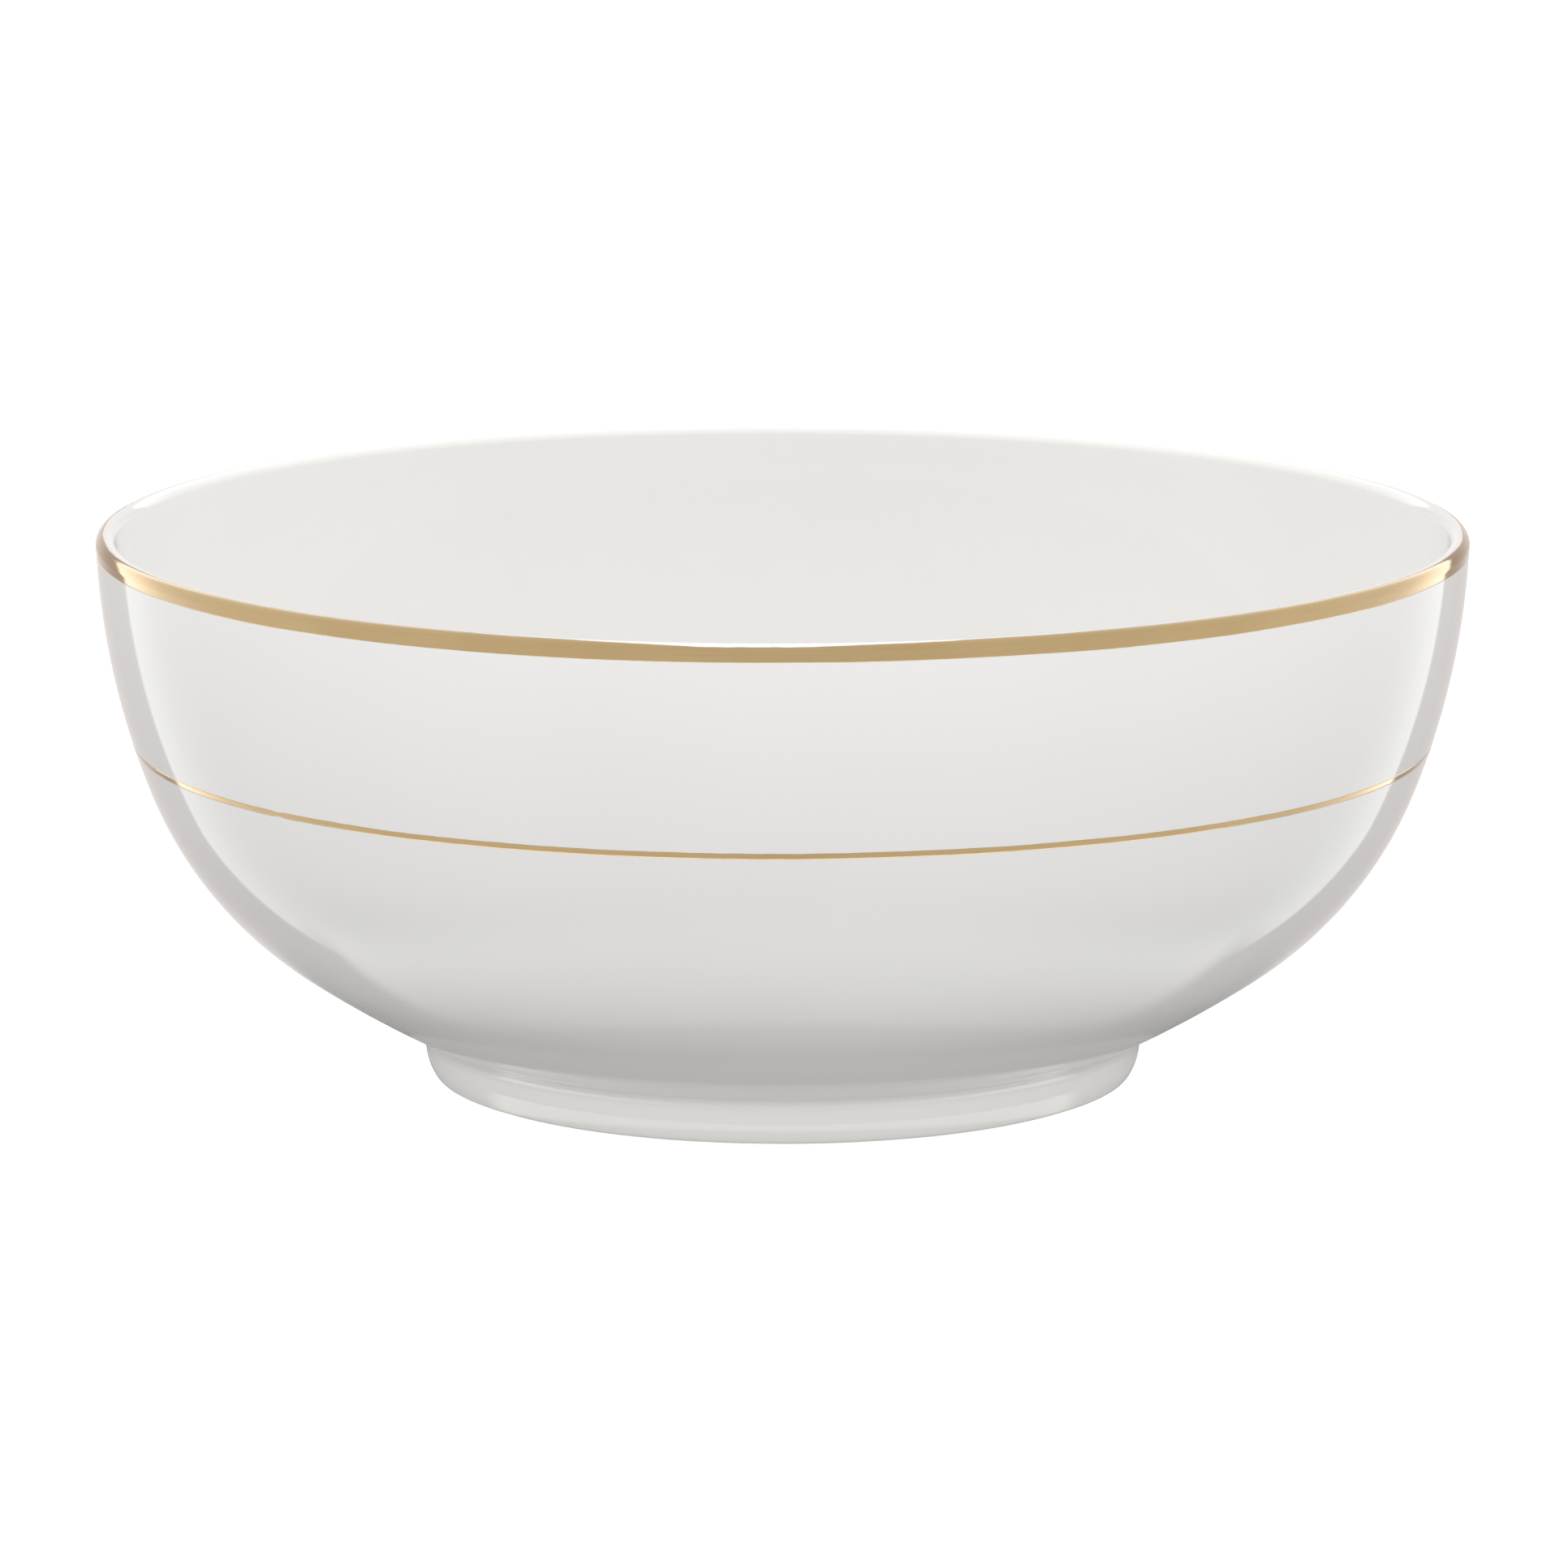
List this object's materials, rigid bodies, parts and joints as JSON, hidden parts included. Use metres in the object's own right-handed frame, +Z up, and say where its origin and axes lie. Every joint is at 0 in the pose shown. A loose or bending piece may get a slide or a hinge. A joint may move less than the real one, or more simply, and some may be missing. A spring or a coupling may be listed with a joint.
{
  "type": "serving bowl",
  "caption": "Round footed porcelain serving bowl with a deep curved wall, a gilded lip and a thin gilt line round the outside.",
  "frame": {"origin": "on the bowl's axis, in the plane that its bare foot ring stands on", "axes": "+Z up along the bowl's axis of symmetry, towards the open mouth; X and Y are alike"},
  "size_m": [0.2412, 0.2412, 0.0976],
  "materials": {
    "biscuit": "matte",
    "glaze": "gloss",
    "gilding": "burnished"
  },
  "bodies": {
    "root": {"porcelain_body": "biscuit", "foot_ring": "biscuit", "glaze_coat": "glaze", "glaze_underside": "glaze", "rim_gold_band": "gilding", "pinstripe": "gilding"}
  },
  "joints": []
}
